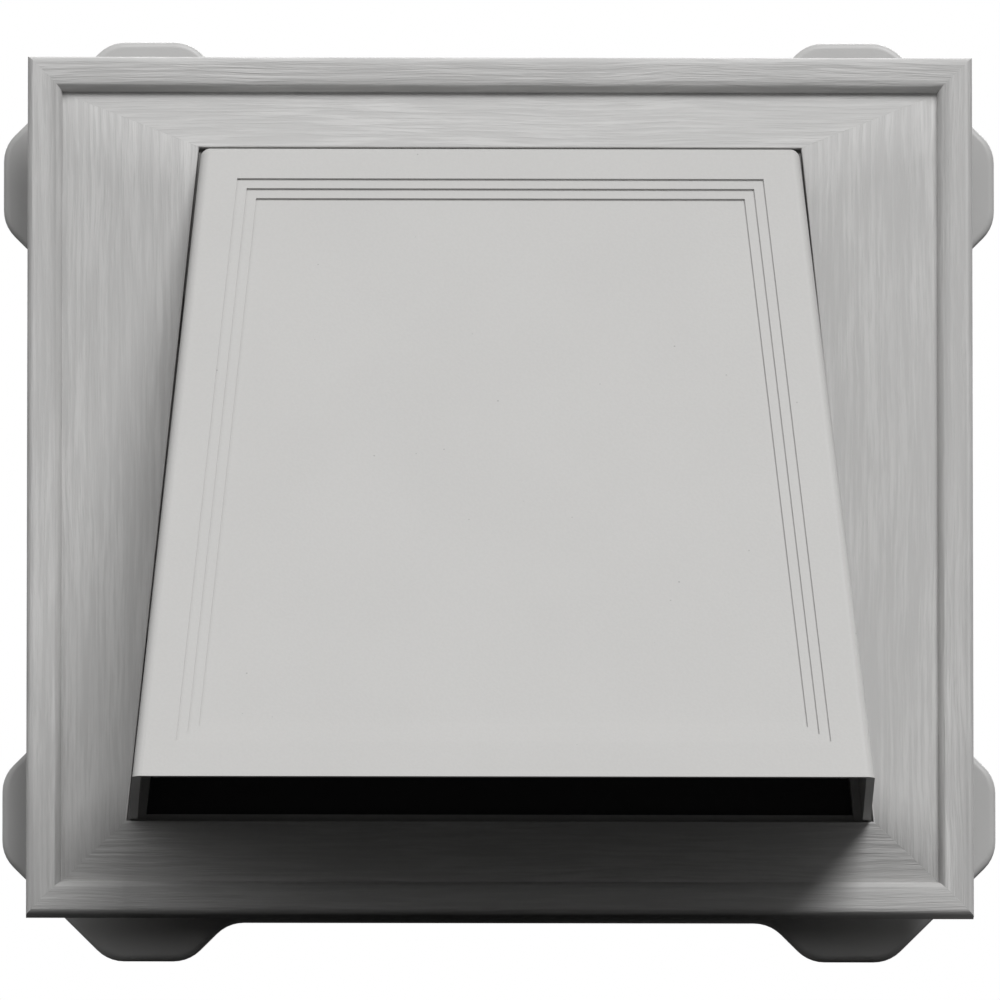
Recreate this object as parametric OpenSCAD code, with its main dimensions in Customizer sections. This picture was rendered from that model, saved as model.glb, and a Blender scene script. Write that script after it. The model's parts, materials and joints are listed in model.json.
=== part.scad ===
// Hooded wall vent for lap siding. A nailing flange carries a tapered neck, a mitred trim ring
// ratchets onto the neck over the siding, and a sloped hood covers the mouth of a round duct tail
// that a hinged flap closes. X runs to the right, Y into the wall and Z up. The origin is on the
// duct axis, in the plane of the sheathing behind the flange. Depths are measured out of the wall.

/* [Nailing flange] */
// Width of the flange without its tabs
flange_w = 255.2; // [248:0.1:262]
// Height of the flange without its tabs
flange_h = 238; // [232:0.1:246]
// Thickness of the flange
flange_t = 2; // [1.6:0.1:3]
// Width of the soft edge around the front of the flange
flange_edge = 1.8; // [0.8:0.1:2.4]
// How far a tab stands out of the flange
tab_l = 10.9; // [8.5:0.1:13]
// Length of the straight end of a tab
tab_flat = 13.7; // [8:0.1:20]
// Radius of the rounded and of the hollow corners of a tab
tab_r = 10.6; // [8:0.1:12]
// Distance from the centre line to the tabs of the top and bottom edges
tab_x = 97.6; // [88:0.1:98]
// Distance from the centre line to the tabs of the left and right edges
tab_z = 89.1; // [80:0.1:90]
// Width of a nail slot
slot_w = 4.4; // [3.6:0.1:5]
// Length of a nail slot from end to end
slot_l = 18; // [12:0.5:24]
// Distance from a flange edge to the middle of its nail slots
slot_inset = 6.2; // [5.4:0.1:7.5]

/* [Neck] */
// How far the neck stands out above and below the duct tail
neck_over = 19.7; // [17:0.1:21]
// How far the top corners of the neck stand out beside the tail
neck_over_top = 8.8; // [7:0.1:11]
// How far the bottom corners of the neck stand out beside the tail
neck_over_bottom = 28.5; // [26:0.1:29]
// Depth of the front edge of the neck
neck_d = 25; // [24:0.5:29]
// Thickness of the neck wall
neck_wall = 2.2; // [1.8:0.1:2.8]
// Distance from the front edge of the neck back to its inner ledge
ledge_setback = 8; // [7:0.1:9]
// Width of the inner ledge
ledge_w = 10; // [9:0.1:10.8]
// Thickness of the inner ledge
ledge_t = 2; // [1.6:0.1:3]
// Height of the webs that brace the neck against the flange
web_h = 7; // [4:0.5:9]
// Thickness of a web
web_t = 1.6; // [1.2:0.1:2.4]

/* [Trim ring] */
// Overall width of the ring
ring_w = 263.5; // [258:0.1:268]
// Overall height of the ring
ring_h = 242; // [236:0.1:246]
// Gap between the flange and the ring, which takes the siding
pocket = 21; // [18:0.5:22.5]
// Height of the outer rim of the ring, from its back edge to the front of its bead
ring_rim_h = 8; // [7:0.1:10]
// Thickness of the ring's wall
ring_wall = 2.2; // [1.8:0.1:2.6]
// Radius of the outer edge of the bead
bead_r = 2.4; // [1:0.1:3]
// Width of the bead up to the start of its inner shoulder
bead_w = 6; // [4.5:0.1:7]
// Width of the rounded shoulder that falls from the bead to the groove
shoulder_w = 3.7; // [3:0.1:5]
// Height of the shoulder
shoulder_h = 4; // [3:0.1:5]
// Width of the flat at the bottom of the groove
groove_w = 0.5; // [0.3:0.1:1.5]
// How far the bevelled boards rise from the groove to the opening
bevel_rise = 5.3; // [3:0.1:8]
// Width of the rounded edge around the opening
nose_w = 0.6; // [0.4:0.1:1]
// Clearance between the ring and the neck
ring_gap = 0.6; // [0.4:0.1:0.8]
// Width of a ratchet leg
leg_w = 14; // [8:0.5:18]
// Thickness of the ribs behind the boards
ring_rib_t = 1.4; // [1:0.1:2]
// Thickness of a ratchet leg
leg_t = 1.4; // [1.2:0.1:1.8]
// How far a leg reaches behind the ring
leg_reach = 8; // [6.5:0.1:9]
// Distance between ratchet teeth
tooth_pitch = 3; // [2.6:0.1:3.4]
// Depth of a ratchet tooth
tooth_depth = 0.8; // [0.6:0.1:1]

/* [Hood] */
// Depth of the lip of the hood
lip_d = 127.3; // [110:0.5:140]
// How far the lip hangs below the neck
lip_drop = 2.3; // [0:0.1:8]
// Depth of the top of the hood where its face starts to slope
brow_d = 34.8; // [33:0.1:42]
// Thickness of the hood's wall
hood_wall = 2.2; // [1.8:0.1:2.8]
// Radius of the outer edges of the hood
hood_edge_r = 2.8; // [1.5:0.1:4]
// Draft of the hood's sides, in degrees
draft = 0.67; // [0.3:0.01:1.2]
// Margin between the side of the face and its first step
step_side = 10.9; // [8:0.1:16]
// Margin between the top of the face and its first step
step_top = 10.4; // [8:0.1:16]
// Margin between the lip and the first step
step_bottom = 11.8; // [8:0.1:16]
// Width of one step
step_tread = 2.9; // [2:0.1:4]
// Depth of one step
step_rise = 0.7; // [0.4:0.05:1]
// Number of steps down to the panel
step_count = 3; // [1:1:4]
// Thickness of the tongue that plugs into the neck
tongue_t = 2; // [1.6:0.1:2.4]

/* [Duct tail] */
// Outer diameter of the duct tail
tail_d = 149.2; // [144:0.1:152]
// How far the tail reaches into the wall
tail_l = 60; // [40:1:100]
// Thickness of the tail's wall
tail_wall = 2; // [1.6:0.1:2.6]
// Thickness of the panel around the tail
panel_t = 2; // [1.6:0.1:2.6]
// Height of the raised seat around the mouth of the tail
seat_h = 2.5; // [2:0.1:3]
// How far the seat is wider than the tail, on each side
seat_lip = 1.5; // [1:0.1:2]
// Length of the tapered end that guides the duct on
lead_l = 4; // [2:0.5:8]

/* [Damper] */
// Thickness of the flap
flap_t = 1.6; // [1.2:0.1:2.2]
// Height of the ribs and the rim on the front of the flap
flap_rib_h = 1.2; // [0.8:0.1:2]
// Width of the ribs and the rim
flap_rib_w = 2; // [1.2:0.1:3]
// Thickness of the foam ring that the flap closes on
seal_t = 1.2; // [0.8:0.1:1.6]
// Gap between the closed flap and the foam ring
seal_gap = 0.3; // [0.2:0.05:0.5]
// Diameter of the hinge rod
rod_d = 3; // [2.4:0.1:3.4]
// Outer diameter of a hinge knuckle
knuckle_d = 6.4; // [6:0.1:7]
// Width of a hinge knuckle
knuckle_w = 10; // [6:0.5:14]
// Distance from the centre line to the middle of a hinge lug
lug_x = 50; // [40:0.5:58]
// Thickness of a hinge lug
lug_t = 4; // [3:0.1:6]
// Outer diameter of a hinge lug
lug_d = 7.4; // [7:0.1:8]
// How far the rod stands out of its lug for the clip
rod_stub = 3; // [2.4:0.1:4]
// Diameter of the head of the rod
rod_head_d = 5.4; // [4.6:0.1:6]
// Outer diameter of the clip
clip_d = 7; // [6:0.1:7.4]
// Thickness of the clip
clip_t = 0.8; // [0.6:0.1:1]

/* [Screws] */
// Diameter of a screw's shank
screw_d = 2.9; // [2.4:0.1:3.2]
// Diameter of a screw's head
screw_head_d = 6.8; // [6:0.1:7.4]
// Height of a screw's head
screw_head_h = 2.2; // [1.8:0.1:3]
// Length of a screw under its head
screw_l = 12; // [10:0.5:13]
// Distance from the outside of the neck to the middle of a screw
screw_inset = 5.6; // [5:0.1:6.2]
// Height of the lower screws above the bottom of the neck
screw_rise = 16.8; // [12:0.1:30]
// Diameter of a screw boss
boss_d = 7; // [6.4:0.1:7.6]
// How far a screw boss reaches into the hood
boss_l = 8; // [6:0.5:12]

/* [Hidden] */
$fn = 96;
cut = 1;                  // overrun of a cut past the face that it opens
arc_n = 5;                // straight pieces in an eighth of a circle on a moulded outline
twist_n = 12;             // strips in each of the ring's twisted side boards
fit_gap = 0.3;            // play of a panel or tongue inside the neck
seat_gap = 0.2;           // play between the tongue and the panel that it holds
pin_gap = 0.08;           // radial play of the flap on its rod
rod_gap = 0.03;           // radial play of the rod in its lugs
drill_gap = 0.05;         // radial play of a screw in its boss
clear_gap = 0.5;          // radial play of a screw in the ledge and the panel
turn_gap = 0.4;           // play around a turning knuckle
rise_gap = 0.5;           // play between the seat and the knuckles above it
click_gap = 0.3;          // play of a pawl in the neck's teeth
bite = 0.2;               // how far a cutter stands out of the surface that it notches
thin = 0.1;               // thickness of a plate that only spans a hull

// Fixed counts and places
tongue_root = 3;          // how far the tongue is rooted in the hood
tooth_n = 5;              // teeth of one rack
tooth_run = 0.8;          // share of the pitch that a tooth's slope takes
pawl_h = 2.6;             // distance from the tip of a leg to the face of its pawl
pawl_flat = 0.2;          // width of the edge of a pawl
leg_nose = 0.4;           // chamfer at the tip of a leg
leg_x_top = 50;           // legs from the centre line, at the top
leg_x_bottom = 62;        // legs from the centre line, at the bottom
leg_z = 48;               // legs above and below the centre, at the sides
web_x = 24;               // webs from the centre line, at the top and the bottom
ring_rib_x = 78;          // outer ribs of the ring from the centre line, at the top and the bottom
ring_rib_z = 74;          // outer ribs above and below the centre, at the sides
ring_rib_in = 1.5;        // how far the ribs stay inside the back of the ring
rod_head_h = 1.2;         // length of the head of the rod
drive_r = 0.9;            // recess of a screw's head
drive_h = 0.6;
head_edge = 0.8;          // chamfer of a screw's head
screw_tip = 1.5;          // length of a screw's point

// Levels out of the wall
ledge_d = neck_d - ledge_setback;
panel_d = ledge_d + panel_t;
tongue_d = panel_d + seat_gap;
seat_d = panel_d + seat_h;
seal_d = seat_d + seal_t;
flap_d = seal_d + seal_gap;
rim_d = neck_d + tongue_root;
ring_back = flange_t + pocket;
bead_d = ring_back + ring_rim_h;
groove_d = bead_d - shoulder_h;
opening_d = groove_d + bevel_rise;

// Neck and hood planes
neck_h = tail_d + 2 * neck_over;
neck_top_w = tail_d + 2 * neck_over_top;
neck_bottom_w = tail_d + 2 * neck_over_bottom;
side_slope = (neck_bottom_w - neck_top_w) / 2 / neck_h;
side_angle = atan(side_slope);
neck_top = neck_h / 2;
neck_bottom = -neck_h / 2;
lip_z = neck_bottom - lip_drop;
face_tilt = atan((lip_d - brow_d) / (neck_top - lip_z));
face_l = (neck_top - lip_z) / cos(face_tilt);
face_over = 12;           // how far the hood is drawn past its mouth before the mouth is cut
tongue_in = neck_wall + fit_gap + tongue_t;

// Flange edge: an upright side and a rounded front
flange_side = flange_t * 0.4;
soft_n = 3;

// Ring outline
groove_e = bead_w + shoulder_w;
bevel_e = groove_e + groove_w;
leg_tip = ring_back - leg_reach;
pawl_d = leg_tip + pawl_h;
pawl_bite = tooth_depth - click_gap;

// Duct, seat and hinge
tail_r = tail_d / 2;
seat_r = tail_r + seat_lip;
hinge_z = seat_r + rise_gap + knuckle_d / 2;
hinge_d = panel_d + turn_gap + knuckle_d / 2;
knuckle_x = lug_x - lug_t / 2 - turn_gap - knuckle_w / 2;

// Half the width of the neck or the hood at a height and a depth, inside its wall by an inset
function half_w(z, d = 0, inset = 0) =
    neck_top_w / 2 + side_slope * (neck_top - z) - inset / cos(side_angle)
    - max(0, d - neck_d) * tan(draft);

// Depth of the hood's sloped face at a height, inside it by an inset
function face_d(z, inset = 0) =
    brow_d + (neck_top - z) * tan(face_tilt) - inset / cos(face_tilt);

// Places of the screws, as [x, z]
function screw_spots() = [
    for (z = [neck_top - screw_inset, neck_bottom + screw_rise], side = [-1, 1])
        [side * half_w(z, 0, screw_inset), z]
];

// Solid between rings of points, with flat ends unless it closes on itself
module loft(rings, closed = false) {
    n = len(rings[0]);
    m = len(rings);
    last = closed ? m - 1 : m - 2;
    sides = [
        for (i = [0:last], k = [0:n - 1])
            let (j = (i + 1) % m, l = (k + 1) % n)
            each [[i * n + k, j * n + k, j * n + l], [i * n + k, j * n + l, i * n + l]]
    ];
    ends = closed ? [] : [[for (k = [0:n - 1]) k], [for (k = [n - 1:-1:0]) (m - 1) * n + k]];
    polyhedron(points = [for (r = rings) each r], faces = concat(sides, ends), convexity = 10);
}

// Plate between two depths, from an outline drawn in X and Z
module slab(d0, d1) {
    translate([0, -d0, 0]) rotate([90, 0, 0]) linear_extrude(d1 - d0) children();
}

// Turned piece on the Y axis through [x, z], drawn from a depth outwards
module turned(x, z, d) {
    translate([x, -d, z]) rotate([90, 0, 0]) children();
}

// Tapered outline of the neck, drawn inwards by an inset and down by a drop
module neck_outline(inset = 0, drop = 0) {
    top = neck_top - inset;
    bottom = neck_bottom + inset - drop;
    polygon([
        [-half_w(bottom, 0, inset), bottom], [half_w(bottom, 0, inset), bottom],
        [half_w(top, 0, inset), top], [-half_w(top, 0, inset), top]
    ]);
}

// Places children on each outer wall of the neck: x outwards, z along the wall
module on_sides(z_list) {
    for (side = [0, 1], z = z_list)
        mirror([side, 0, 0]) translate([half_w(z), 0, z]) rotate([0, -side_angle, 0]) children();
}
module on_top(x_list) {
    for (x = x_list) translate([x, 0, neck_top]) rotate([0, -90, 0]) children();
}
module on_bottom(x_list) {
    for (x = x_list) translate([x, 0, neck_bottom]) rotate([0, 90, 0]) children();
}
module at_legs() {
    on_sides([-leg_z, leg_z]) children();
    on_top([-leg_x_top, leg_x_top]) children();
    on_bottom([-leg_x_bottom, leg_x_bottom]) children();
}

// Side of a tab above a straight edge, inset by e: the hollow foot, and the rounded shoulder
function tab_foot(e) =
    let (foot = tab_flat / 2 + tab_l - 2 * tab_r * (1 - cos(45)) + 2 * tab_r * sin(45))
    [for (i = [0:arc_n]) let (a = 45 * i / arc_n)
        [-foot + (tab_r + e) * sin(a), tab_r - (tab_r + e) * cos(a)]];
function tab_shoulder(e) =
    [for (i = [arc_n:-1:0]) let (a = 45 * i / arc_n)
        [-tab_flat / 2 - (tab_r - e) * sin(a), tab_l - tab_r + (tab_r - e) * cos(a)]];
function mirrored(points) =
    [for (i = [len(points) - 1:-1:0]) [-points[i][0], points[i][1]]];

// One edge of the flange with its two tabs, turned a quarter turn for each side. The shoulders
// of neighbouring tabs meet in a straight line across the corner.
function flange_edge_points(side, e) =
    let (upright = side % 2 == 0,
         out = (upright ? flange_w : flange_h) / 2,
         at = [upright ? tab_z : tab_x, 0],
         n = [cos(90 * side), sin(90 * side)],
         t = [-sin(90 * side), cos(90 * side)],
         half = concat([for (p = tab_shoulder(e)) p - at],
                       [for (p = mirrored(concat(tab_foot(e), tab_shoulder(e)))) p - at]))
    [for (p = concat(half, mirrored(half))) n * (out + p[1]) + t * p[0]];
function flange_ring(e, d) =
    [for (side = [0:3], p = flange_edge_points(side, e)) [p[0], -d, p[1]]];

module nail_slot() {
    for (s = [-1, 1]) translate([s * (slot_l - slot_w) / 2, 0, 0])
        turned(0, 0, -cut) cylinder(d = slot_w, h = flange_t + 2 * cut);
    slab(-cut, flange_t + cut) square([slot_l - slot_w, slot_w], center = true);
}

// Sawtooth that the pawl of a leg clicks into, square towards the front
module tooth_rack() {
    first = pawl_d + click_gap / 2;
    for (k = [0:tooth_n - 1])
        translate([0, tooth_pitch * k - first, -leg_w / 2 - cut]) linear_extrude(leg_w + 2 * cut)
            polygon([[bite, 0], [-tooth_depth, 0], [bite, tooth_run * tooth_pitch]]);
}

// Three-cornered web between the neck and the flange
module web() {
    translate([0, 0, -web_t / 2]) linear_extrude(web_t)
        polygon([[-neck_wall / 2, -flange_t / 2], [web_h, -flange_t / 2], [web_h, -flange_t],
                 [neck_wall / 2, -flange_t - web_h], [-neck_wall / 2, -flange_t - web_h]]);
}

// Flange, neck and inner ledge, moulded in one piece
module base_plate() {
    color("#b4b6b8") difference() {
        union() {
            loft(concat([flange_ring(0, 0)], [
                for (i = [0:soft_n]) let (a = 90 * i / soft_n)
                    flange_ring(flange_edge * (1 - cos(a)),
                                flange_side + (flange_t - flange_side) * sin(a))
            ]));
            slab(0, neck_d) neck_outline();
            on_top([-web_x, web_x]) web();
            on_bottom([-web_x, web_x]) web();
            on_sides([0]) web();
        }
        slab(-cut, ledge_d - ledge_t) neck_outline(neck_wall);
        slab(ledge_d, neck_d + cut) neck_outline(neck_wall);
        slab(-cut, neck_d + cut) neck_outline(neck_wall + ledge_w);
        for (s = screw_spots())
            turned(s[0], s[1], 0) cylinder(r = screw_d / 2 + clear_gap, h = neck_d);
        for (sx = [-1, 1], sz = [-1, 1]) {
            translate([sx * tab_x, 0, sz * (flange_h / 2 - slot_inset)]) nail_slot();
            translate([sx * (flange_w / 2 - slot_inset), 0, sz * tab_z])
                rotate([0, 90, 0]) nail_slot();
        }
        at_legs() tooth_rack();
    }
}

// One ring of points of the trim ring, with its upright sides in strips
function trim_points(top_x, bottom_x, z, d) = concat(
    [for (i = [0:twist_n]) let (t = i / twist_n)
        [bottom_x + (top_x - bottom_x) * t, -d, -z + 2 * z * t]],
    [for (i = [twist_n:-1:0]) let (t = i / twist_n)
        [-bottom_x - (top_x - bottom_x) * t, -d, -z + 2 * z * t]]
);
// Ring at a distance inside the outer edge, and ring at a distance outside the opening
function frame_at(e, d) = trim_points(ring_w / 2 - e, ring_w / 2 - e, ring_h / 2 - e, d);
function opening_at(e, d) =
    let (z = neck_top + ring_gap + e)
    trim_points(half_w(neck_top, 0, -ring_gap - e) - side_slope * (ring_gap + e),
                half_w(neck_bottom, 0, -ring_gap - e) + side_slope * (ring_gap + e), z, d);

// Leg with a pawl, drawn against the neck wall
module ratchet_leg() {
    root = ring_back + leg_t;
    back = ring_gap + leg_t;
    translate([0, 0, -leg_w / 2]) linear_extrude(leg_w)
        polygon([
            [ring_gap, -root], [ring_gap, -pawl_d], [-pawl_bite, -pawl_d],
            [-pawl_bite, pawl_flat - pawl_d], [ring_gap, -leg_tip - leg_nose],
            [ring_gap + leg_nose, -leg_tip], [back, -leg_tip], [back, -root]
        ]);
}

// Rib behind a board, from the collar around the opening to the outer rim
module ring_rib(collar, rim) {
    half = ring_wall / 2;
    back = -ring_back - ring_rib_in;
    translate([0, 0, -ring_rib_t / 2]) linear_extrude(ring_rib_t)
        polygon([
            [collar + half, back], [collar + half, half + nose_w - opening_d],
            [rim - bevel_e, half - groove_d], [rim - groove_e + half, half - groove_d],
            [rim - bead_w, half - bead_d], [rim - ring_wall - bead_r, half - bead_d],
            [rim - half, half + bead_r - bead_d], [rim - half, back]
        ]);
}
module ring_ribs() {
    for (at = [-1, 0, 1], turn = [-90, 90]) {
        translate([at * ring_rib_x, 0, 0]) rotate([0, turn, 0])
            ring_rib(neck_top + ring_gap, ring_h / 2);
        mirror([turn > 0 ? 1 : 0, 0, 0]) translate([0, 0, at * ring_rib_z])
            ring_rib(half_w(at * ring_rib_z, 0, -ring_gap), ring_w / 2);
    }
}

// Mitred frame: rim, bead, shoulder, groove and four bevelled boards around a tapered opening
module trim_ring() {
    in_r = max(bite, bead_r - ring_wall);
    bevel_back = groove_d - ring_wall;
    bead_back = bead_d - ring_wall;
    color("#b9bbbd") union() {
        loft(concat(
            [frame_at(0, ring_back)],
            [for (i = [0:arc_n]) let (a = 90 * i / arc_n)
                frame_at(bead_r * (1 - cos(a)), bead_d - bead_r * (1 - sin(a)))],
            [for (i = [0:2 * arc_n]) let (a = 45 * i / arc_n)
                frame_at(bead_w + shoulder_w * sin(a), groove_d + shoulder_h * cos(a))],
            [frame_at(bevel_e, groove_d),
             opening_at(nose_w, opening_d - nose_w / 8), opening_at(nose_w / 4, opening_d - nose_w / 4),
             opening_at(0, opening_d - nose_w), opening_at(0, ring_back),
             opening_at(ring_wall, ring_back),
             opening_at(ring_wall, opening_d - ring_wall - nose_w),
             frame_at(bevel_e, bevel_back), frame_at(groove_e - ring_wall, bevel_back),
             frame_at(groove_e - ring_wall, groove_d), frame_at(bead_w, bead_back),
             frame_at(ring_wall + in_r, bead_back), frame_at(ring_wall, bead_back - in_r),
             frame_at(ring_wall, ring_back)]
        ), closed = true);
        ring_ribs();
        at_legs() ratchet_leg();
    }
}

// Frame on the sloped face: x across, y up the slope from the brow, z out of the face
module on_face() {
    translate([0, -brow_d, neck_top]) rotate([90 - face_tilt, 0, 0]) children();
}
function face_half_w(y) =
    half_w(neck_top + y * cos(face_tilt), brow_d - y * sin(face_tilt));

// Tapered outline on the face, with its own margins
module face_outline(side, top, bottom) {
    polygon([
        [-face_half_w(bottom - face_l) + side, bottom - face_l],
        [face_half_w(bottom - face_l) - side, bottom - face_l],
        [face_half_w(-top) - side, -top],
        [-face_half_w(-top) + side, -top]
    ]);
}

// Stepped recess in the face, grown sideways and sunk by the same amount
module face_steps(grow) {
    for (k = [0:step_count - 1]) {
        in = k * step_tread - grow;
        on_face() translate([0, 0, -grow - (k + 1) * step_rise])
            linear_extrude((k + 1) * step_rise + grow + cut)
                face_outline(step_side + in, step_top + in, step_bottom + in);
    }
}

// Rounded block that the hood is hollowed from, drawn past its mouth
module hood_block() {
    low = lip_z - face_over;
    r = hood_edge_r;
    hull() {
        slab(neck_d, neck_d + thin) neck_outline(0, face_over + lip_drop);
        for (z = [neck_top - r, low], side = [-1, 1]) {
            d = face_d(z, r);
            translate([side * half_w(z, d, r), -d, z]) sphere(r, $fn = 32);
        }
    }
}

module hood_hollow() {
    hull() {
        slab(neck_d - cut, neck_d) neck_outline(hood_wall, face_over + lip_drop);
        on_face() translate([0, 0, -hood_wall - thin]) linear_extrude(thin)
            face_outline(hood_wall, hood_wall * (1 - tan(face_tilt)), -face_over);
    }
}

// Everything below the plane of the mouth
module mouth_cut() {
    far = lip_d + 2 * face_over;
    low = lip_z - 3 * face_over;
    drop = lip_drop * (far - neck_d) / (lip_d - neck_d);
    translate([-neck_bottom_w, 0, 0]) rotate([90, 0, 90]) linear_extrude(2 * neck_bottom_w)
        polygon([[cut - neck_d, neck_bottom], [-neck_d, neck_bottom],
                 [-far, neck_bottom - drop], [-far, low], [cut - neck_d, low]]);
}

// Shell with a stepped face, a tongue on three sides and four screw bosses
module hood() {
    boss_end = neck_d + boss_l;
    color("#bcbec0") difference() {
        union() {
            difference() {
                hood_block();
                face_steps(0);
                difference() {
                    hood_hollow();
                    face_steps(hood_wall);
                }
                mouth_cut();
            }
            slab(neck_d, rim_d) difference() {
                neck_outline();
                neck_outline(tongue_in, tongue_in + cut);
            }
            slab(tongue_d, rim_d) difference() {
                neck_outline(neck_wall + fit_gap);
                neck_outline(tongue_in, tongue_in + cut);
            }
            intersection() {
                for (s = screw_spots())
                    turned(s[0], s[1], tongue_d) cylinder(d = boss_d, h = boss_end - tongue_d);
                slab(tongue_d - cut, boss_end) neck_outline(neck_wall + fit_gap);
            }
        }
        for (s = screw_spots())
            turned(s[0], s[1], tongue_d - cut)
                cylinder(r = screw_d / 2 + drill_gap, h = screw_l - ledge_t - panel_t + 2 * cut);
    }
}

// Panel that fills the neck, with the round tail, the seat of the flap and the hinge lugs
module tail_pipe() {
    inner_r = tail_r - tail_wall;
    color("#1c1d1e") difference() {
        union() {
            slab(ledge_d, panel_d) neck_outline(neck_wall + fit_gap);
            turned(0, 0, lead_l - tail_l) cylinder(r = tail_r, h = tail_l - lead_l + panel_d);
            turned(0, 0, -tail_l) cylinder(r1 = tail_r - tail_wall / 2, r2 = tail_r, h = lead_l);
            turned(0, 0, ledge_d) cylinder(r = seat_r, h = seat_d - ledge_d);
            for (side = [-1, 1]) {
                translate([side * lug_x - lug_t / 2, -hinge_d, hinge_z])
                    rotate([0, 90, 0]) cylinder(d = lug_d, h = lug_t);
                translate([side * lug_x - lug_t / 2, -hinge_d, hinge_z - lug_d / 2])
                    cube([lug_t, hinge_d - panel_d + panel_t / 2, lug_d]);
            }
        }
        turned(0, 0, -tail_l - cut) cylinder(r = inner_r, h = tail_l + seat_d + 2 * cut);
        for (s = screw_spots())
            turned(s[0], s[1], ledge_d - cut)
                cylinder(r = screw_d / 2 + clear_gap, h = panel_t + 2 * cut);
        translate([-lug_x - lug_t, -hinge_d, hinge_z])
            rotate([0, 90, 0]) cylinder(d = rod_d + 2 * rod_gap, h = 2 * (lug_x + lug_t));
    }
}

// Foam ring on the seat
module damper_seal() {
    color("#3a3a3c") turned(0, 0, seat_d) difference() {
        cylinder(r = seat_r, h = seal_t);
        translate([0, 0, -cut]) cylinder(r = tail_r - tail_wall, h = seal_t + 2 * cut);
    }
}

// Round flap with a rim, ribs and two knuckles
module damper_flap() {
    mid_r = seat_r / 2;
    front_h = flap_t + flap_rib_h;
    color("#26272a") difference() {
        union() {
            turned(0, 0, flap_d) cylinder(r = seat_r, h = flap_t);
            for (r = [mid_r, seat_r])
                turned(0, 0, flap_d) difference() {
                    cylinder(r = r, h = front_h);
                    cylinder(r = r - flap_rib_w, h = front_h + cut);
                }
            slab(flap_d, flap_d + front_h) intersection() {
                circle(r = seat_r);
                square([2 * seat_r, flap_rib_w], center = true);
            }
            for (side = [-1, 1]) {
                translate([side * knuckle_x - knuckle_w / 2, -flap_d - front_h, mid_r])
                    cube([knuckle_w, front_h, hinge_z - mid_r]);
                translate([side * knuckle_x - knuckle_w / 2, -hinge_d, hinge_z])
                    rotate([0, 90, 0]) cylinder(d = knuckle_d, h = knuckle_w);
            }
        }
        translate([-lug_x, -hinge_d, hinge_z])
            rotate([0, 90, 0]) cylinder(d = rod_d + 2 * pin_gap, h = 2 * lug_x);
    }
}

// Steel rod with an upset head
module hinge_rod() {
    end = lug_x + lug_t / 2;
    color("#9a9c9f") translate([0, -hinge_d, hinge_z]) rotate([0, 90, 0]) {
        translate([0, 0, -end - rod_stub]) cylinder(d = rod_d, h = 2 * end + rod_stub + turn_gap);
        translate([0, 0, end + turn_gap]) cylinder(d = rod_head_d, h = rod_head_h);
    }
}

// Push-on ring that keeps the rod in its lugs
module rod_clip() {
    color("#8a8c90") translate([-lug_x - lug_t / 2 - turn_gap - clip_t, -hinge_d, hinge_z])
        rotate([0, 90, 0]) difference() {
            cylinder(d = clip_d, h = clip_t);
            translate([0, 0, -cut]) cylinder(d = rod_d, h = clip_t + 2 * cut);
        }
}

// Four screws driven from the wall side through the ledge and the panel into the hood
module hood_screws() {
    head_r = screw_head_d / 2;
    end = screw_head_h + screw_l;
    color("#a2a4a7") for (s = screw_spots())
        turned(s[0], s[1], ledge_d - ledge_t - screw_head_h) rotate_extrude() polygon([
            [0, drive_h], [drive_r, drive_h], [drive_r, 0], [head_r - head_edge, 0],
            [head_r, head_edge], [head_r, screw_head_h], [screw_d / 2, screw_head_h],
            [screw_d / 2, end - screw_tip], [0, end]
        ]);
}

base_plate();
trim_ring();
hood();
tail_pipe();
damper_seal();
damper_flap();
hinge_rod();
rod_clip();
hood_screws();
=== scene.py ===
"""Looks of a hooded siding vent: finishes, smooth shading, screws, clip, floor, lamps and camera."""
import json
import math

import bmesh
import bpy
from bpy.props import FloatProperty, FloatVectorProperty, IntProperty, PointerProperty
from mathutils import Matrix, Vector

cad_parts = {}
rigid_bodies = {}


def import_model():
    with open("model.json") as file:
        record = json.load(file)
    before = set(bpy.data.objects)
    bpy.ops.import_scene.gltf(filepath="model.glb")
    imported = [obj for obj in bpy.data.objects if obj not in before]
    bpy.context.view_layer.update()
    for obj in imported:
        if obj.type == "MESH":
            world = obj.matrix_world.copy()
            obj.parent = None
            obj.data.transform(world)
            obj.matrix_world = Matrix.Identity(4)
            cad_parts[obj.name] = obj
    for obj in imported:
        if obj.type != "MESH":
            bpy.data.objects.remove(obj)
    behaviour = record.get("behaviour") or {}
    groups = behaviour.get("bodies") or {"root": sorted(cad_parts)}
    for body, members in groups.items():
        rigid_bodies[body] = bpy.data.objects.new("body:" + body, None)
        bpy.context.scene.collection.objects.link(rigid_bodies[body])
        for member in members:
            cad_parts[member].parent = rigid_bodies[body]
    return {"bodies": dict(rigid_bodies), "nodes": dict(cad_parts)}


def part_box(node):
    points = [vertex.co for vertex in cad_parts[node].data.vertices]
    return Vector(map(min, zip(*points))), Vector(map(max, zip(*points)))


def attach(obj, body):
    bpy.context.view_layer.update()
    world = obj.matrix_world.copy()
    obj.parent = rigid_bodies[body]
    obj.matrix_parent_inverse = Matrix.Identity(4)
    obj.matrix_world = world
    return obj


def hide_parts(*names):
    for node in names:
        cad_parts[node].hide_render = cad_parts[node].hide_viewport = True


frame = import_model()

bl_info = {
    "name": "Hooded Siding Vent",
    "version": (1, 0, 0),
    "blender": (4, 5, 0),
    "location": "View3D > Sidebar > Vent",
    "description": "Dresses the vent's parts and sets the floor, the lamps and the camera",
    "category": "Object",
}

MM = 0.001
HOUSING = "housing"
DAMPER = "damper"
MERGE = 0.002 * MM
SHARP = math.radians(35)


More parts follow.
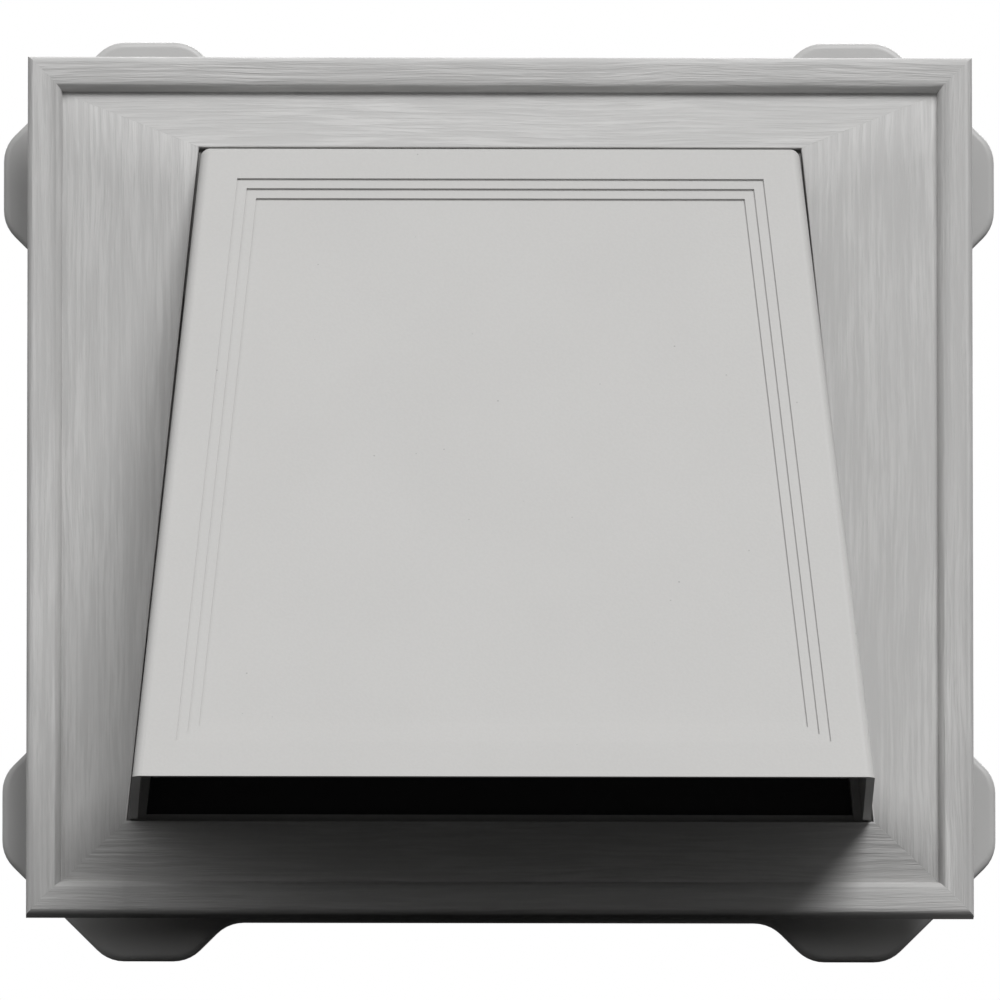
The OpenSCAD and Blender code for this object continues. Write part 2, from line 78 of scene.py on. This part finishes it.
class Val:
    """A value in a material. Arithmetic on it adds Math nodes."""

    def __init__(self, finish, socket):
        self.finish = finish
        self.socket = socket

    def math(self, operation, *others):
        return self.finish.math(operation, self, *others)

    def __add__(self, other):
        return self.math("ADD", other)

    def __radd__(self, other):
        return self.math("ADD", other)

    def __sub__(self, other):
        return self.math("SUBTRACT", other)

    def __rsub__(self, other):
        return self.finish.math("SUBTRACT", other, self)

    def __mul__(self, other):
        return self.math("MULTIPLY", other)

    def __rmul__(self, other):
        return self.math("MULTIPLY", other)

    def __truediv__(self, other):
        return self.math("DIVIDE", other)

    def __pow__(self, other):
        return self.math("POWER", other)

    def __gt__(self, other):
        return self.math("GREATER_THAN", other)

    def __lt__(self, other):
        return self.math("LESS_THAN", other)

    def __abs__(self):
        return self.math("ABSOLUTE")


class Finish:
    """A material under construction."""

    def __init__(self, name):
        self.material = bpy.data.materials.new(name)
        self.material.use_nodes = True
        self.tree = self.material.node_tree
        self.tree.nodes.clear()

    def node(self, kind, settings=None, inputs=None, output=0):
        """Adds a node. Inputs go by socket name or number, as plain values or as Vals."""
        node = self.tree.nodes.new(kind)
        for name, value in (settings or {}).items():
            setattr(node, name, value)
        for name, value in (inputs or {}).items():
            if isinstance(value, Val):
                self.tree.links.new(value.socket, node.inputs[name])
            else:
                node.inputs[name].default_value = value
        return Val(self, node.outputs[output]) if node.outputs else None

    def math(self, operation, *values):
        return self.node("ShaderNodeMath", {"operation": operation}, dict(enumerate(values)))

    def place(self):
        """The three coordinates of the surface in the vent's own frame, in metres."""
        spot = self.node("ShaderNodeTexCoord", output="Object")
        return [self.node("ShaderNodeSeparateXYZ", inputs={0: spot}, output=i) for i in range(3)]

    def vector(self, x, y, z):
        return self.node("ShaderNodeCombineXYZ", inputs={0: x, 1: y, 2: z})

    def noise(self, vector, scale=1.0, detail=2.0, roughness=0.5):
        return self.node("ShaderNodeTexNoise", inputs={
            "Vector": vector, "Scale": scale, "Detail": detail, "Roughness": roughness})

    def cells(self, vector, scale, feature="F1", output="Distance"):
        return self.node("ShaderNodeTexVoronoi", {"feature": feature},
                         {"Vector": vector, "Scale": scale}, output)

    def fade(self, value, low, high, start=0.0, end=1.0):
        """Smooth change from start to end while the value goes from low to high."""
        return self.node("ShaderNodeMapRange", {"interpolation_type": "SMOOTHSTEP"}, {
            "Value": value, "From Min": low, "From Max": high, "To Min": start, "To Max": end})

    def blend(self, share, colour_a, colour_b):
        return self.node("ShaderNodeMix", {"data_type": "RGBA"}, {
            "Factor": share, 6: colour_a, 7: colour_b}, 2)

    def bump(self, height, depth, normal=None):
        inputs = {"Height": height, "Distance": depth, "Strength": 1.0}
        if normal is not None:
            inputs["Normal"] = normal
        return self.node("ShaderNodeBump", inputs=inputs)

    def surface(self, colour, roughness, normal=None, metallic=0.0, specular=0.5):
        """Ends the material with one shader, and returns the material."""
        inputs = {"Base Color": colour, "Roughness": roughness, "Metallic": metallic,
                  "Specular IOR Level": specular}
        if normal is not None:
            inputs["Normal"] = normal
        shader = self.node("ShaderNodeBsdfPrincipled", inputs=inputs)
        self.node("ShaderNodeOutputMaterial", inputs={"Surface": shader})
        return self.material


def tone(colour, factor):
    """A colour made lighter or darker, with full alpha."""
    return tuple(channel * factor for channel in colour[:3]) + (1.0,)


def board_mask(finish, x, z, ring):
    """1 on the upright boards of the mitred ring, 0 on the level ones."""
    low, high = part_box("trim_ring")
    groove_x = high.x - ring.groove
    groove_z = high.z - ring.groove
    rise = groove_z - ring.opening_height
    is_top = z > 0
    edge_x = ring.opening_bottom + is_top * (ring.opening_top - ring.opening_bottom)
    past_x = abs(x) - groove_x
    past_z = abs(z) - groove_z
    on_bevel = (abs(x) - edge_x) * rise > (abs(z) - ring.opening_height) * (groove_x - edge_x)
    on_bead = past_x > past_z
    outside = past_x.math("MAXIMUM", past_z) > 0
    return on_bevel + outside * (on_bead - on_bevel)


def wood_grain_plastic(ring):
    """Grey plastic with a moulded wood grain that runs along each board."""
    finish = Finish("wood_grain_plastic")
    x, y, z = finish.place()
    upright = board_mask(finish, x, z, ring)
    along = x + upright * (z - x)
    across = z + upright * (x - z)
    side = (x > 0) * upright + (z > 0) * (1 - upright)
    board = upright * 3.7 + side * 1.9
    bend = finish.noise(finish.vector(along * 14, across * 45, board), detail=2.0)
    line = across + (bend - 0.5) * ring.wander
    coarse = finish.noise(
        finish.vector(along * (1 / ring.line_length), line * (1 / ring.line_spacing), board),
        detail=3.0, roughness=0.6)
    fine = finish.noise(
        finish.vector(along * (5 / ring.line_length), line * (2.6 / ring.line_spacing), board + 9),
        detail=2.0, roughness=0.6)
    lines = finish.fade(coarse, 0.3, 0.7) * 0.7 + fine * 0.5
    patch = finish.noise(finish.vector(along * 22, across * 90, board + 4), detail=1.0)
    height = lines * finish.fade(patch, 0.25, 0.75, 0.55, 1.0)
    normal = finish.bump(height, ring.line_depth)
    colour = finish.blend(finish.fade(height, 0.2, 0.9), tone(ring.colour, 0.91), tone(ring.colour, 1.05))
    roughness = 0.62 - height * 0.12
    return finish.surface(colour, roughness, normal, specular=0.35)


def pebbled_plastic(hood):
    """Grey plastic with a fine pebbled finish and a few specks."""
    finish = Finish("pebbled_plastic")
    spot = finish.node("ShaderNodeTexCoord", output="Object")
    pebble = finish.noise(spot, 1 / hood.pebble_size, 2.0, 0.55)
    cloud = finish.noise(spot, 28.0, 2.0, 0.5)
    near = finish.cells(spot, 1 / hood.speck_spacing)
    chance = finish.node("ShaderNodeSeparateColor", inputs={
        0: finish.cells(spot, 1 / hood.speck_spacing, output="Color")})
    size = chance * hood.speck_size
    speck = (near < size) * (chance > hood.speck_share)
    normal = finish.bump(pebble, hood.pebble_depth)
    shade = finish.fade(pebble, 0.3, 0.7) * 0.6 + finish.fade(cloud, 0.3, 0.7) * 0.4
    plain = finish.blend(shade, tone(hood.colour, 0.975), tone(hood.colour, 1.02))
    colour = finish.blend(speck, plain, tone(hood.colour, 0.72))
    return finish.surface(colour, 0.5 + pebble * 0.16, normal, specular=0.4)


def smooth_plastic(name, colour, waviness, texture_size, roughness=0.42, specular=0.45):
    """Smooth moulded plastic with a faint tool texture and slow flow shading."""
    finish = Finish(name)
    spot = finish.node("ShaderNodeTexCoord", output="Object")
    texture = finish.noise(spot, 1 / texture_size, 3.0, 0.6)
    flow = finish.noise(spot, 16.0, 2.0, 0.5)
    normal = finish.bump(texture * 0.6 + flow * 3.0, waviness)
    shade = finish.fade(flow, 0.3, 0.7)
    return finish.surface(
        finish.blend(shade, tone(colour, 0.95), tone(colour, 1.04)),
        roughness + (texture - 0.5) * 0.16, normal, specular=specular)


def open_foam(colour, pore_size):
    """Dark foam with open pores, with painted shade down in each pore."""
    finish = Finish("open_foam")
    spot = finish.node("ShaderNodeTexCoord", output="Object")
    pores = finish.cells(spot, 1 / pore_size)
    dust = finish.noise(spot, 900.0, 2.0, 0.6)
    height = finish.fade(pores, 0.1, 0.6)
    normal = finish.bump(height + dust * 0.3, 0.3 * pore_size)
    # The colour goes from dark at the bottom of each pore to light on its rim: painted shade in the
    # pores.
    return finish.surface(finish.blend(height, tone(colour, 0.4), tone(colour, 1.3)),
                          0.85 + dust * 0.1, normal, specular=0.2)


def drawn_steel(name, colour, roughness, along_x=True):
    """Steel with drawing marks that run along the rod."""
    finish = Finish(name)
    x, y, z = finish.place()
    marks = finish.noise(
        finish.vector(x * (120 if along_x else 2600), y * 2600, z * (2600 if along_x else 400)),
        detail=3.0, roughness=0.6)
    normal = finish.bump(marks, 0.008 * MM)
    return finish.surface(finish.blend(marks, tone(colour, 0.8), tone(colour, 1.1)),
                          roughness + (marks - 0.5) * 0.3, normal, metallic=1.0)


def zinc_plate(colour):
    """Zinc plating with a fine spangle."""
    finish = Finish("zinc_plate")
    spot = finish.node("ShaderNodeTexCoord", output="Object")
    spangle = finish.cells(spot, 1400.0, output="Color")
    grain = finish.node("ShaderNodeSeparateColor", inputs={0: spangle})
    haze = finish.noise(spot, 500.0, 3.0, 0.6)
    normal = finish.bump(haze, 0.01 * MM)
    return finish.surface(finish.blend(grain, tone(colour, 0.85), tone(colour, 1.1)),
                          0.32 + haze * 0.2, normal, metallic=1.0)


def give(piece, material):
    """Puts a material on a whole piece."""
    piece.data.materials.clear()
    piece.data.materials.append(material)


def piece_from(bm, name, body, material, stands_for=None):
    """Makes a finished bmesh a piece of the vent that rides on a body."""
    mesh = bpy.data.meshes.new(name)
    bm.to_mesh(mesh)
    bm.free()
    piece = bpy.data.objects.new(name, mesh)
    bpy.context.scene.collection.objects.link(piece)
    give(piece, material)
    if stands_for:
        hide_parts(stands_for)
    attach(piece, body)
    return piece


def refill(bm, level):
    """Gives the flat face that lies at one level of Y a fresh fill of its outline."""
    flat = [face for face in bm.faces if all(abs(v.co.y - level) < MERGE for v in face.verts)]
    bmesh.ops.delete(bm, geom=flat, context="FACES")
    rim = [line for line in bm.edges if line.is_boundary]
    bmesh.ops.triangle_fill(bm, edges=rim, use_beauty=True)
    if not all(line.is_manifold for line in bm.edges):
        raise RuntimeError("A flat face of the flange did not close")


def moulded_copy(node, name, body, material, flat_levels=()):
    """Joined-up, smoothly shaded copy of a CAD node, which stands for that node."""
    bm = bmesh.new()
    bm.from_mesh(frame["nodes"][node].data)
    bmesh.ops.remove_doubles(bm, verts=bm.verts, dist=MERGE)
    for level in flat_levels:
        refill(bm, level)
    if flat_levels:
        bmesh.ops.recalc_face_normals(bm, faces=bm.faces)
    for face in bm.faces:
        face.smooth = True
    for line in bm.edges:
        line.smooth = len(line.link_faces) == 2 and line.calc_face_angle() < SHARP
    piece = piece_from(bm, name, body, material, node)
    old_normals = piece.data.attributes.get("custom_normal")
    if old_normals:
        piece.data.attributes.remove(old_normals)
    flat_faces = piece.modifiers.new("flat_faces", "WEIGHTED_NORMAL")
    flat_faces.keep_sharp = True
    return piece


def spun(bm, points, centre, axis, steps, turns=1.0, rise=0.0):
    """Spins a profile of points about an axis; a rise along the axis makes a helix."""
    verts = [bm.verts.new(point) for point in points]
    edges = [bm.edges.new(pair) for pair in zip(verts, verts[1:])]
    full = turns == 1.0 and rise == 0.0
    return bmesh.ops.spin(bm, geom=verts + edges, cent=centre, axis=axis, dvec=axis * rise / steps,
                          angle=math.tau * turns, steps=int(steps * turns), use_merge=full)


def tidy_shell(bm):
    """Joins what a spin left open and turns every face outwards."""
    bmesh.ops.remove_doubles(bm, verts=bm.verts, dist=MERGE)
    bmesh.ops.recalc_face_normals(bm, faces=bm.faces)
    for face in bm.faces:
        face.smooth = True
    for line in bm.edges:
        line.smooth = len(line.link_faces) == 2 and line.calc_face_angle() < SHARP


def screw_places():
    """The lowest and highest corners of each of the four screws."""
    points = [v.co for v in frame["nodes"]["hood_screws"].data.vertices]
    for right in (False, True):
        for upper in (False, True):
            own = [p for p in points if (p.x > 0) == right and (p.z > 0) == upper]
            yield (Vector(map(min, *own)), Vector(map(max, *own)))


def add_screw(bm, low, high, screw):
    """One self-tapping screw, head towards the wall."""
    axis = Vector((0, -1, 0))
    centre = (low + high) / 2
    centre.y = high.y
    head_r = (high.x - low.x) / 2
    length = high.y - low.y

    def at(radius, depth):
        return centre + Vector((radius, -depth, 0))

    profile = [
        at(0, screw.dome * 0), at(head_r * 0.5, 0.04 * MM), at(head_r * 0.82, 0.25 * MM),
        at(head_r * 0.97, 0.7 * MM), at(head_r, 1.1 * MM), at(head_r, screw.head - 0.15 * MM),
        at(head_r - 0.15 * MM, screw.head), at(screw.core, screw.head),
        at(screw.core, length - screw.point), at(0.25 * MM, length - 0.1 * MM), at(0, length),
    ]
    spun(bm, profile, centre, axis, 32)
    turns = (length - screw.head - screw.point - 0.6 * MM) / screw.pitch
    start = screw.head + 0.5 * MM
    reach = screw.core - 0.1 * MM
    ridge = [at(reach, start), at(screw.crest, start + 0.22 * MM), at(reach, start + 0.44 * MM)]
    made = spun(bm, ridge + ridge[:1], centre, axis, 24, turns, screw.pitch)
    return made


class VentRing(bpy.types.PropertyGroup):
    colour: FloatVectorProperty(
        name="Colour", description="Colour of the ring's plastic", subtype="COLOR", size=3,
        min=0, max=1, default=(0.57, 0.566, 0.56))
    line_spacing: FloatProperty(
        name="Line spacing", description="Distance between the coarse lines of the grain",
        subtype="DISTANCE", unit="LENGTH", default=1.1 * MM)
    line_length: FloatProperty(
        name="Line length", description="Length over which a line of the grain fades out",
        subtype="DISTANCE", unit="LENGTH", default=26 * MM)
    line_depth: FloatProperty(
        name="Line depth", description="Depth of the moulded grain",
        subtype="DISTANCE", unit="LENGTH", default=0.16 * MM)
    wander: FloatProperty(
        name="Wander", description="How far a line of the grain strays sideways",
        subtype="DISTANCE", unit="LENGTH", default=5 * MM)
    groove: FloatProperty(
        name="Groove", description="Distance from the outer edge to the start of the boards",
        subtype="DISTANCE", unit="LENGTH", default=10.2 * MM)
    opening_top: FloatProperty(
        name="Opening top", description="Half width of the opening at its top",
        subtype="DISTANCE", unit="LENGTH", default=83.94 * MM)
    opening_bottom: FloatProperty(
        name="Opening bottom", description="Half width of the opening at its bottom",
        subtype="DISTANCE", unit="LENGTH", default=103.77 * MM)
    opening_height: FloatProperty(
        name="Opening height", description="Half height of the opening",
        subtype="DISTANCE", unit="LENGTH", default=94.9 * MM)


class VentHood(bpy.types.PropertyGroup):
    colour: FloatVectorProperty(
        name="Colour", description="Colour of the hood's plastic", subtype="COLOR", size=3,
        min=0, max=1, default=(0.55, 0.545, 0.535))
    pebble_size: FloatProperty(
        name="Pebble size", description="Size of the pebbles of the finish",
        subtype="DISTANCE", unit="LENGTH", default=0.8 * MM)
    pebble_depth: FloatProperty(
        name="Pebble depth", description="Height of the pebbles",
        subtype="DISTANCE", unit="LENGTH", default=0.03 * MM)
    speck_spacing: FloatProperty(
        name="Speck spacing", description="Distance between places where a speck may be",
        subtype="DISTANCE", unit="LENGTH", default=7 * MM)
    speck_size: FloatProperty(
        name="Speck size", description="Radius of a speck as a share of the spacing",
        min=0, max=1, default=0.045)
    speck_share: FloatProperty(
        name="Speck share", description="Share of the places that stay without a speck",
        min=0, max=1, default=0.6)


class VentPlastic(bpy.types.PropertyGroup):
    flange: FloatVectorProperty(
        name="Flange", description="Colour of the nailing flange", subtype="COLOR", size=3,
        min=0, max=1, default=(0.52, 0.517, 0.512))
    duct: FloatVectorProperty(
        name="Duct", description="Colour of the duct tail and its panel", subtype="COLOR", size=3,
        min=0, max=1, default=(0.035, 0.035, 0.037))
    flap: FloatVectorProperty(
        name="Flap", description="Colour of the flap", subtype="COLOR", size=3,
        min=0, max=1, default=(0.04, 0.04, 0.042))
    foam: FloatVectorProperty(
        name="Foam", description="Colour of the foam ring", subtype="COLOR", size=3,
        min=0, max=1, default=(0.035, 0.035, 0.038))
    pore: FloatProperty(
        name="Pore", description="Size of a pore of the foam",
        subtype="DISTANCE", unit="LENGTH", default=0.7 * MM)
    flange_thickness: FloatProperty(
        name="Flange thickness", description="Thickness of the nailing flange",
        subtype="DISTANCE", unit="LENGTH", default=2 * MM)


class VentMetal(bpy.types.PropertyGroup):
    rod: FloatVectorProperty(
        name="Rod", description="Colour of the rod's steel", subtype="COLOR", size=3,
        min=0, max=1, default=(0.6, 0.6, 0.62))
    clip: FloatVectorProperty(
        name="Clip", description="Colour of the clip's spring steel", subtype="COLOR", size=3,
        min=0, max=1, default=(0.42, 0.42, 0.45))
    zinc: FloatVectorProperty(
        name="Zinc", description="Colour of the screws' plating", subtype="COLOR", size=3,
        min=0, max=1, default=(0.66, 0.67, 0.69))


class VentScrew(bpy.types.PropertyGroup):
    head: FloatProperty(
        name="Head", description="Height of the head", subtype="DISTANCE", unit="LENGTH",
        default=2.2 * MM)
    dome: FloatProperty(
        name="Dome", description="Rise of the head's dome", subtype="DISTANCE", unit="LENGTH",
        default=0.2 * MM)
    core: FloatProperty(
        name="Core", description="Radius of the shank inside its thread", subtype="DISTANCE",
        unit="LENGTH", default=1.1 * MM)
    crest: FloatProperty(
        name="Crest", description="Radius of the crest of the thread", subtype="DISTANCE",
        unit="LENGTH", default=1.45 * MM)
    pitch: FloatProperty(
        name="Pitch", description="Distance between turns of the thread", subtype="DISTANCE",
        unit="LENGTH", default=1.3 * MM)
    point: FloatProperty(
        name="Point", description="Length of the point", subtype="DISTANCE", unit="LENGTH",
        default=1.5 * MM)


class VentStage(bpy.types.PropertyGroup):
    azimuth: FloatProperty(
        name="Azimuth", description="Turn of the camera to the right, in degrees", default=-0.6)
    elevation: FloatProperty(
        name="Elevation", description="Height of the camera above the horizon, in degrees",
        default=-9.0)
    distance: FloatProperty(
        name="Distance", description="Distance from the camera to the vent",
        subtype="DISTANCE", unit="LENGTH", default=9.0)
    frame_width: FloatProperty(
        name="Frame width", description="Width that the picture shows at the vent",
        subtype="DISTANCE", unit="LENGTH", default=0.2794)
    aim: FloatVectorProperty(
        name="Aim", description="Point at the middle of the picture", subtype="XYZ", size=3,
        default=(0.3 * MM, 0, 0.5 * MM))
    key: FloatProperty(name="Key", description="Strength of the main lamp", default=2.26)
    fill: FloatProperty(name="Fill", description="Strength of the fill lamp", default=0.63)
    back: FloatProperty(name="Back", description="Strength of the lamp behind", default=1.5)
    room: FloatProperty(name="Room", description="Light from all around", default=0.15)
    floor_radius: FloatProperty(
        name="Floor radius", description="Radius of the floor", subtype="DISTANCE",
        unit="LENGTH", default=8.0)
    floor_gap: FloatProperty(
        name="Floor gap", description="Air between the floor and the vent",
        subtype="DISTANCE", unit="LENGTH", default=0.5 * MM)


class VENT_OT_trim_ring(bpy.types.Operator):
    """Dress the mitred trim ring in wood-grain plastic"""

    bl_idname = "vent.trim_ring"
    bl_label = "Trim Ring"

    def execute(self, context):
        ring = context.scene.vent_ring
        moulded_copy("trim_ring", "ring_moulding", HOUSING,
                     wood_grain_plastic(ring))
        return {"FINISHED"}


class VENT_OT_hood(bpy.types.Operator):
    """Dress the hood in pebbled plastic"""

    bl_idname = "vent.hood"
    bl_label = "Hood"

    def execute(self, context):
        hood = context.scene.vent_hood
        moulded_copy("hood", "hood_moulding", HOUSING, pebbled_plastic(hood))
        return {"FINISHED"}


class VENT_OT_base_plate(bpy.types.Operator):
    """Dress the nailing flange and its neck in smooth plastic"""

    bl_idname = "vent.base_plate"
    bl_label = "Nailing Flange"

    def execute(self, context):
        plastic = context.scene.vent_plastic
        finish = smooth_plastic("flange_plastic_smooth", plastic.flange, 0.012 * MM, 0.9 * MM)
        moulded_copy("base_plate", "flange_moulding", HOUSING, finish,
                     (0.0, -plastic.flange_thickness))
        return {"FINISHED"}


class VENT_OT_duct(bpy.types.Operator):
    """Dress the black duct tail and its foam ring"""

    bl_idname = "vent.duct"
    bl_label = "Duct Tail and Foam Ring"

    def execute(self, context):
        plastic = context.scene.vent_plastic
        finish = smooth_plastic("duct_plastic", plastic.duct, 0.01 * MM, 0.8 * MM, 0.45)
        moulded_copy("tail_pipe", "duct_moulding", HOUSING, finish)
        give(frame["nodes"]["damper_seal"], open_foam(plastic.foam, plastic.pore))
        return {"FINISHED"}


class VENT_OT_damper(bpy.types.Operator):
    """Dress the hinged flap"""

    bl_idname = "vent.damper"
    bl_label = "Damper Flap"

    def execute(self, context):
        plastic = context.scene.vent_plastic
        finish = smooth_plastic("flap_plastic_satin", plastic.flap, 0.01 * MM, 0.7 * MM, 0.4)
        moulded_copy("damper_flap", "flap_moulding", DAMPER, finish)
        return {"FINISHED"}


class VENT_OT_hinge(bpy.types.Operator):
    """Give the hinge rod and its clip their steel"""

    bl_idname = "vent.hinge"
    bl_label = "Hinge Rod and Clip"

    def execute(self, context):
        metal = context.scene.vent_metal
        give(frame["nodes"]["hinge_rod"], drawn_steel("rod_steel_drawn", metal.rod, 0.28))
        give(frame["nodes"]["rod_clip"], drawn_steel("clip_spring_steel", metal.clip, 0.35, False))
        return {"FINISHED"}


class VENT_OT_screws(bpy.types.Operator):
    """Make the four screws that hold the hood"""

    bl_idname = "vent.screws"
    bl_label = "Hood Screws"

    def execute(self, context):
        screw = context.scene.vent_screw
        bm = bmesh.new()
        for low, high in screw_places():
            add_screw(bm, low, high, screw)
        tidy_shell(bm)
        piece_from(bm, "screws_threaded", HOUSING,
                   zinc_plate(context.scene.vent_metal.zinc), "hood_screws")
        return {"FINISHED"}


def add_sun(name, azimuth, elevation, strength, angle):
    """A soft distant lamp. Azimuth 0 is in front of the vent and 90 to its right."""
    lamp = bpy.data.lights.new(name, "SUN")
    lamp.energy = strength
    lamp.angle = math.radians(angle)
    holder = bpy.data.objects.new(name, lamp)
    bpy.context.scene.collection.objects.link(holder)
    turn, lift = math.radians(azimuth), math.radians(elevation)
    towards = Vector((math.sin(turn) * math.cos(lift), -math.cos(turn) * math.cos(lift), math.sin(lift)))
    holder.rotation_mode = "QUATERNION"
    holder.rotation_quaternion = towards.to_track_quat("Z", "Y")
    holder.location = towards
    return holder


class VENT_OT_stage(bpy.types.Operator):
    """Set the floor, the lamps, the world and the camera"""

    bl_idname = "vent.stage"
    bl_label = "Floor, Lamps and Camera"

    def execute(self, context):
        stage = context.scene.vent_stage
        self.add_floor(stage)
        self.set_world(stage)
        add_sun("key_lamp", 22, 40, stage.key, 30)
        add_sun("fill_lamp", -35, 30, stage.fill, 60)
        add_sun("back_lamp", 160, 45, stage.back, 40)
        self.add_camera(stage)
        context.scene.view_settings.view_transform = "Standard"
        return {"FINISHED"}

    def add_floor(self, stage):
        """Pale floor that is seen from above only."""
        bm = bmesh.new()
        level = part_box("base_plate")[0].z - stage.floor_gap
        bmesh.ops.create_circle(bm, cap_ends=True, segments=96, radius=stage.floor_radius,
                                matrix=Matrix.Translation((0, 0, level)))
        mesh = bpy.data.meshes.new("floor")
        bm.to_mesh(mesh)
        bm.free()
        floor = bpy.data.objects.new("floor", mesh)
        bpy.context.scene.collection.objects.link(floor)
        finish = Finish("floor_paint")
        spot = finish.node("ShaderNodeTexCoord", output="Object")
        mottle = finish.noise(spot, 3.0, 3.0, 0.6)
        seen = finish.node("ShaderNodeLightPath", output="Is Camera Ray")
        pale = finish.blend(mottle, (0.80, 0.80, 0.80, 1), (0.82, 0.82, 0.82, 1))
        colour = finish.blend(seen, (0.1, 0.1, 0.1, 1), pale)
        paint = finish.node("ShaderNodeBsdfDiffuse", inputs={"Color": colour})
        clear = finish.node("ShaderNodeBsdfTransparent")
        underneath = finish.node("ShaderNodeNewGeometry", output="Backfacing")
        both = finish.node("ShaderNodeMixShader", inputs={0: underneath * seen, 1: paint, 2: clear})
        finish.node("ShaderNodeOutputMaterial", inputs={"Surface": both})
        give(floor, finish.material)

    def set_world(self, stage):
        """White behind the vent, and a plain soft light from all around."""
        world = bpy.data.worlds.new("studio")
        bpy.context.scene.world = world
        world.use_nodes = True
        nodes, links = world.node_tree.nodes, world.node_tree.links
        nodes.clear()
        path = nodes.new("ShaderNodeLightPath")
        seen = nodes.new("ShaderNodeMath")
        seen.operation = "MAXIMUM"
        links.new(path.outputs["Is Camera Ray"], seen.inputs[0])
        links.new(path.outputs["Is Transmission Ray"], seen.inputs[1])
        either = nodes.new("ShaderNodeMath")
        either.operation = "MAXIMUM"
        links.new(seen.outputs[0], either.inputs[0])
        links.new(path.outputs["Is Glossy Ray"], either.inputs[1])
        soft = nodes.new("ShaderNodeBackground")
        soft.inputs["Strength"].default_value = stage.room
        white = nodes.new("ShaderNodeBackground")
        for light in (soft, white):
            light.inputs["Color"].default_value = (1, 1, 1, 1)
        both = nodes.new("ShaderNodeMixShader")
        links.new(either.outputs[0], both.inputs[0])
        links.new(soft.outputs[0], both.inputs[1])
        links.new(white.outputs[0], both.inputs[2])
        out = nodes.new("ShaderNodeOutputWorld")
        links.new(both.outputs[0], out.inputs["Surface"])

    def add_camera(self, stage):
        """Long lens at the photograph's viewing angle."""
        lens = bpy.data.cameras.new("camera")
        lens.sensor_width = 36
        lens.lens = lens.sensor_width * stage.distance / stage.frame_width
        lens.clip_end = 100
        camera = bpy.data.objects.new("camera", lens)
        bpy.context.scene.collection.objects.link(camera)
        turn, lift = math.radians(stage.azimuth), math.radians(stage.elevation)
        back = Vector((math.sin(turn) * math.cos(lift), -math.cos(turn) * math.cos(lift), math.sin(lift)))
        camera.rotation_mode = "QUATERNION"
        camera.rotation_quaternion = back.to_track_quat("Z", "Y")
        camera.location = Vector(stage.aim) + back * stage.distance
        bpy.context.scene.camera = camera


OPERATORS = (
    VENT_OT_trim_ring, VENT_OT_hood, VENT_OT_base_plate, VENT_OT_duct, VENT_OT_damper,
    VENT_OT_hinge, VENT_OT_screws, VENT_OT_stage,
)
SETTINGS = {
    "vent_ring": VentRing, "vent_hood": VentHood, "vent_plastic": VentPlastic,
    "vent_metal": VentMetal, "vent_screw": VentScrew, "vent_stage": VentStage,
}


class VENT_PT_pieces(bpy.types.Panel):
    """Buttons and settings of the vent"""

    bl_label = "Hooded Siding Vent"
    bl_idname = "VENT_PT_pieces"
    bl_space_type = "VIEW_3D"
    bl_region_type = "UI"
    bl_category = "Vent"

    def draw(self, context):
        for operator in OPERATORS:
            self.layout.operator(operator.bl_idname)
        for name, group in SETTINGS.items():
            box = self.layout.box()
            box.label(text=group.__name__)
            for prop in group.__annotations__:
                box.prop(getattr(context.scene, name), prop)


CLASSES = (*SETTINGS.values(), *OPERATORS, VENT_PT_pieces)


def register():
    for cls in CLASSES:
        bpy.utils.register_class(cls)
    for name, group in SETTINGS.items():
        setattr(bpy.types.Scene, name, PointerProperty(type=group))


def unregister():
    for name in SETTINGS:
        delattr(bpy.types.Scene, name)
    for cls in reversed(CLASSES):
        bpy.utils.unregister_class(cls)


def clear_startup():
    """Removes what Blender's own startup file holds."""
    for thing in list(bpy.data.objects):
        if thing.name not in frame["nodes"] and thing not in frame["bodies"].values():
            bpy.data.objects.remove(thing)
    bpy.context.view_layer.update()


def main():
    clear_startup()
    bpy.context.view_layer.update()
    register()
    for operator in OPERATORS:
        group, name = operator.bl_idname.split(".")
        getattr(getattr(bpy.ops, group), name)()


if __name__ == "__main__":
    main()
